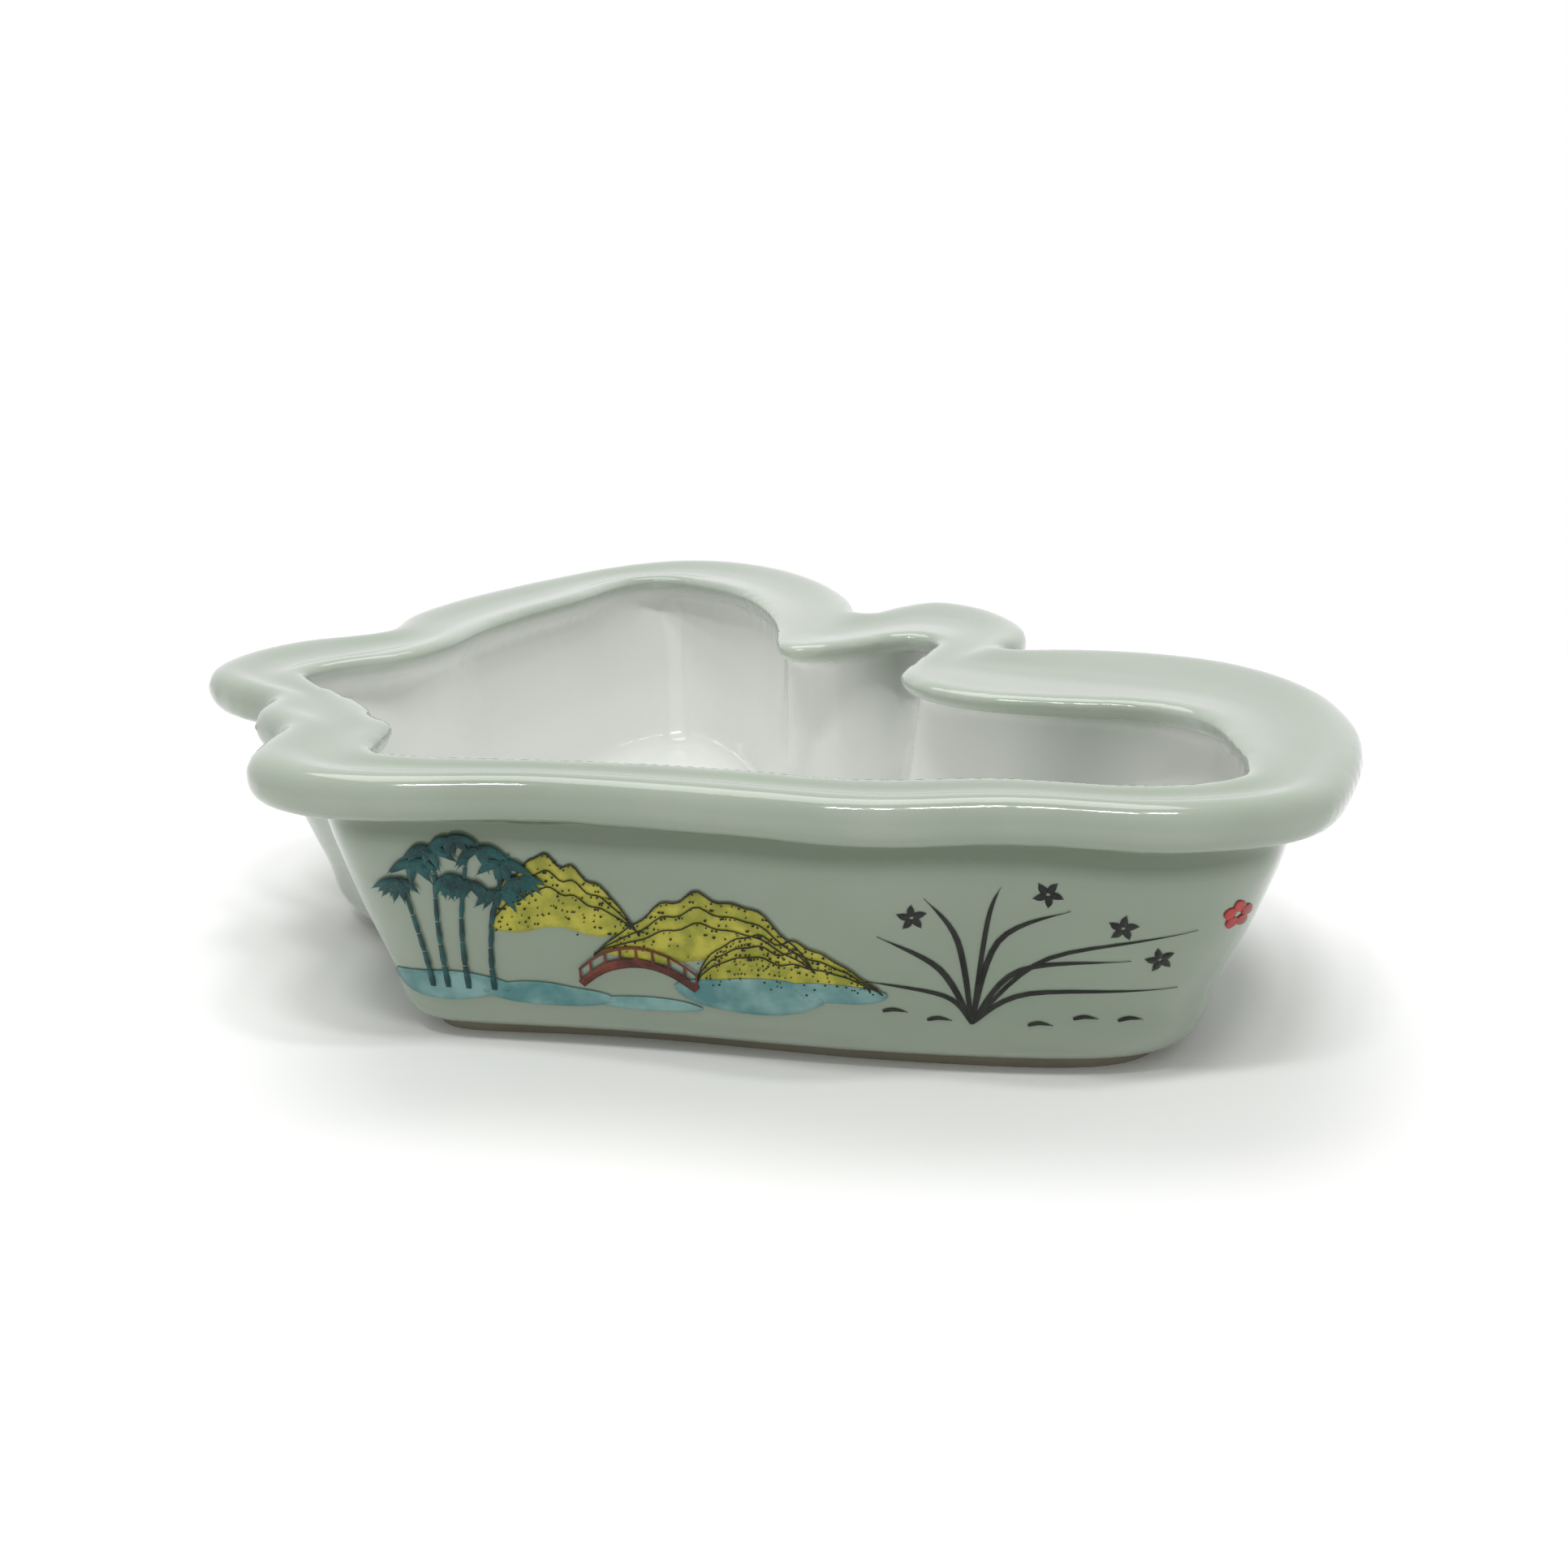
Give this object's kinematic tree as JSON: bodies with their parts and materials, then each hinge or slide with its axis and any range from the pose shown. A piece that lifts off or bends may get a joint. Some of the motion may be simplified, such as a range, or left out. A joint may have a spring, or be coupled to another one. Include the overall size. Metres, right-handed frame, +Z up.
{
  "type": "narcissus bowl",
  "caption": "Low glazed porcelain bowl, butterfly-shaped in plan, with a broad rolled rim, tapering wall and a narrow foot, for growing bulbs in water.",
  "frame": {"origin": "on the table, under the middle of the rim's box", "axes": "+X from the butterfly's tail to its head, +Y to the far wing, +Z up"},
  "size_m": [0.2124, 0.2848, 0.06],
  "materials": {
    "celadon_glaze": "glossy pale grey-green celadon glaze",
    "bare_porcelain": "unglazed fired clay, matt"
  },
  "bodies": {
    "root": {"rolled_rim": "celadon_glaze", "body_wall": "celadon_glaze", "base_floor": "celadon_glaze", "foot_ring": "bare_porcelain"}
  },
  "joints": []
}
